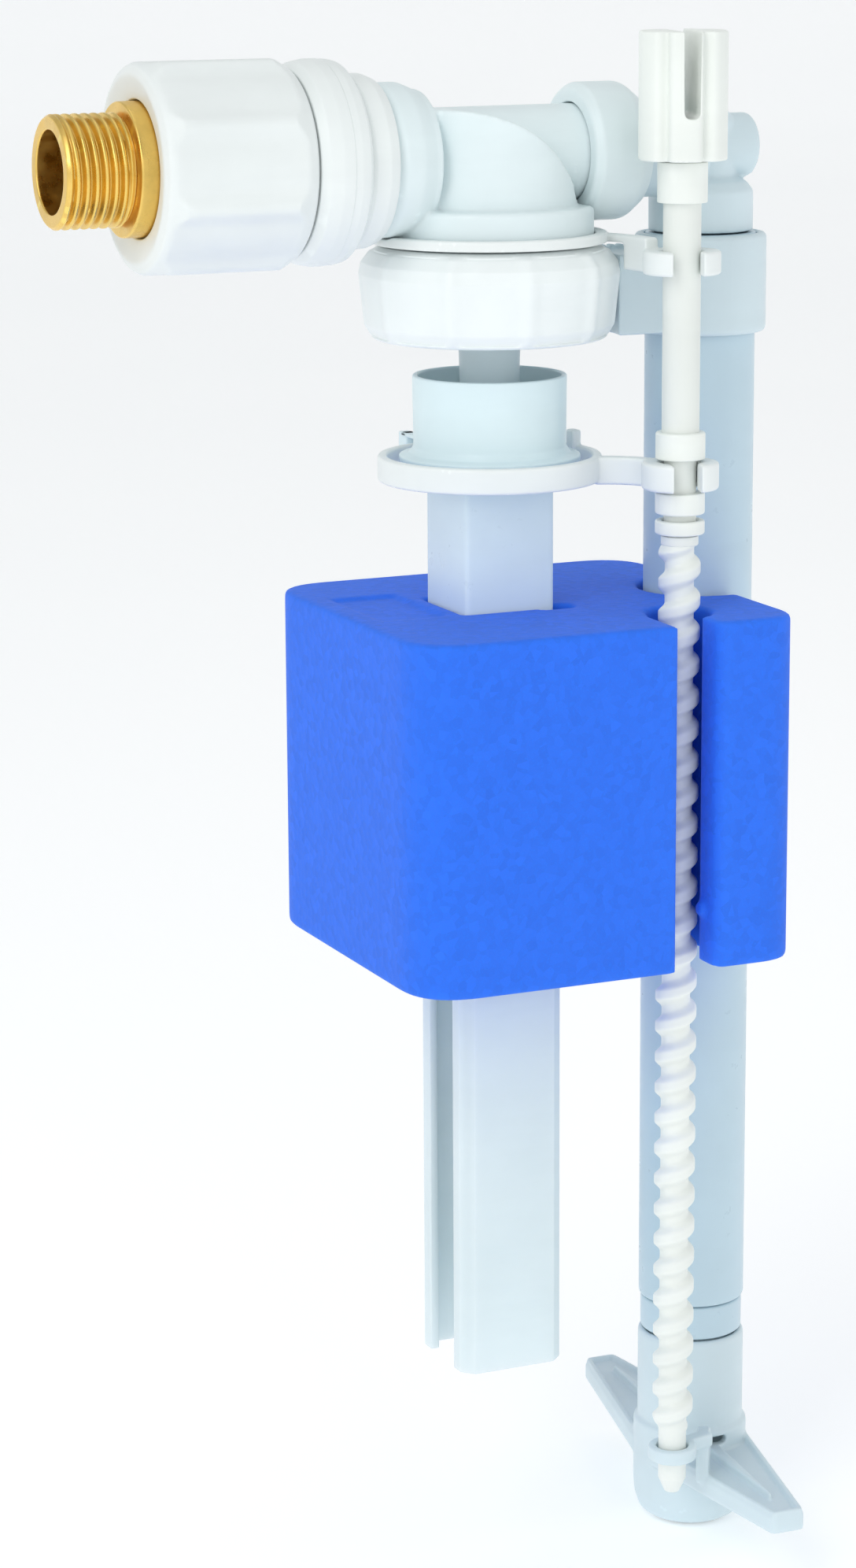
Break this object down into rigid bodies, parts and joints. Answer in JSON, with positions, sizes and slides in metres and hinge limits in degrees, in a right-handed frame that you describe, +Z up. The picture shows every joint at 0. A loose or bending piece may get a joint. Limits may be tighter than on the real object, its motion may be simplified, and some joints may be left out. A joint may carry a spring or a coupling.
{
  "type": "float valve",
  "caption": "Side-inlet cistern float valve: brass threaded inlet, ribbed nut, pilot cup and lever, block float on a screw spindle, discharge pipe with winged foot.",
  "frame": {"origin": "on the inlet axis, at the sealing face of the wall washer that bears on the inside of the cistern wall", "axes": "-X out along the inlet, through the cistern wall; +X towards the discharge pipe; +Z up along the guide column; the float spindle stands on the -Y side"},
  "size_m": [0.1463, 0.0928, 0.3064],
  "materials": {
    "brass": "machined, satin, slightly worn",
    "white_plastic": "satin moulded, warm white",
    "pale_plastic": "satin moulded, cool white",
    "grey_blue_plastic": "satin moulded, pale grey-blue",
    "cream_plastic": "satin moulded, cream white",
    "blue_foam": "matt, fine-grained foam, saturated blue",
    "dark_rubber": "matt",
    "fine_mesh": "satin, grey"
  },
  "bodies": {
    "valve": {"brass_connector": "brass", "connector_gasket": "dark_rubber", "inlet_strainer": "fine_mesh", "lock_collar": "white_plastic", "wall_washer": "white_plastic", "valve_body": "pale_plastic", "seat_ring": "fine_mesh", "outlet_cap": "pale_plastic", "outlet_seal": "dark_rubber", "outlet_elbow": "pale_plastic", "elbow_plug": "pale_plastic", "union_nut": "white_plastic", "pilot_bonnet": "grey_blue_plastic", "bonnet_gasket": "dark_rubber", "clamp_ring": "grey_blue_plastic", "pilot_cup": "grey_blue_plastic", "lever_pin": "fine_mesh", "guide_column": "grey_blue_plastic", "channel_column": "grey_blue_plastic", "guide_bracket": "white_plastic", "pipe_bracket": "pale_plastic", "discharge_pipe": "grey_blue_plastic", "flow_restrictor": "grey_blue_plastic", "pipe_spigot": "grey_blue_plastic", "pipe_foot": "grey_blue_plastic"},
    "coupling_nut": {"coupling_nut": "white_plastic"},
    "diaphragm": {"diaphragm": "dark_rubber", "diaphragm_plate": "grey_blue_plastic"},
    "pilot_pin": {"pilot_pin": "fine_mesh"},
    "ring_lever": {"ring_lever": "white_plastic"},
    "lift_ring": {"stop_ring": "cream_plastic"},
    "float": {"float_block": "blue_foam", "float_nut": "blue_foam"},
    "spindle": {"spindle": "cream_plastic", "spindle_head": "cream_plastic"}
  },
  "joints": [
    {"name": "nut_spin", "type": "hinge", "parent": "valve", "child": "coupling_nut", "pos_m": [-0.026, 0, 0], "axis": [1, 0, 0], "continuous": true},
    {"name": "spindle_lift", "type": "slide", "parent": "valve", "child": "lift_ring", "axis": [0, 0, 1], "range_m": [0, 0.003]},
    {"name": "float_adjust", "type": "slide", "parent": "lift_ring", "child": "float", "axis": [0, 0, 1], "range_m": [-0.05, 0.01]},
    {"name": "spindle_turn", "type": "hinge", "parent": "lift_ring", "child": "spindle", "pos_m": [0.0594, -0.025, -0.1], "axis": [0, 0, 1], "range_deg": [-572, 2858]},
    {"name": "diaphragm_close", "type": "slide", "parent": "valve", "child": "diaphragm", "axis": [0, 0, 1], "range_m": [0, 0.0009]},
    {"name": "pilot_push", "type": "slide", "parent": "valve", "child": "pilot_pin", "axis": [0, 0, 1], "range_m": [0, 0.0015]},
    {"name": "ring_lever_tilt", "type": "hinge", "parent": "valve", "child": "ring_lever", "pos_m": [0.031, 0.024, -0.0593], "axis": [-1, 0, 0], "range_deg": [0, 3.6]}
  ],
  "couplings": [
    {"joint": "diaphragm_close", "follows": "spindle_lift", "ratio": 0.27},
    {"joint": "pilot_push", "follows": "spindle_lift", "ratio": 0.49},
    {"joint": "ring_lever_tilt", "follows": "spindle_lift", "rad_per_m": 20.408},
    {"joint": "spindle_turn", "follows": "float_adjust", "rad_per_m": -997.33}
  ]
}
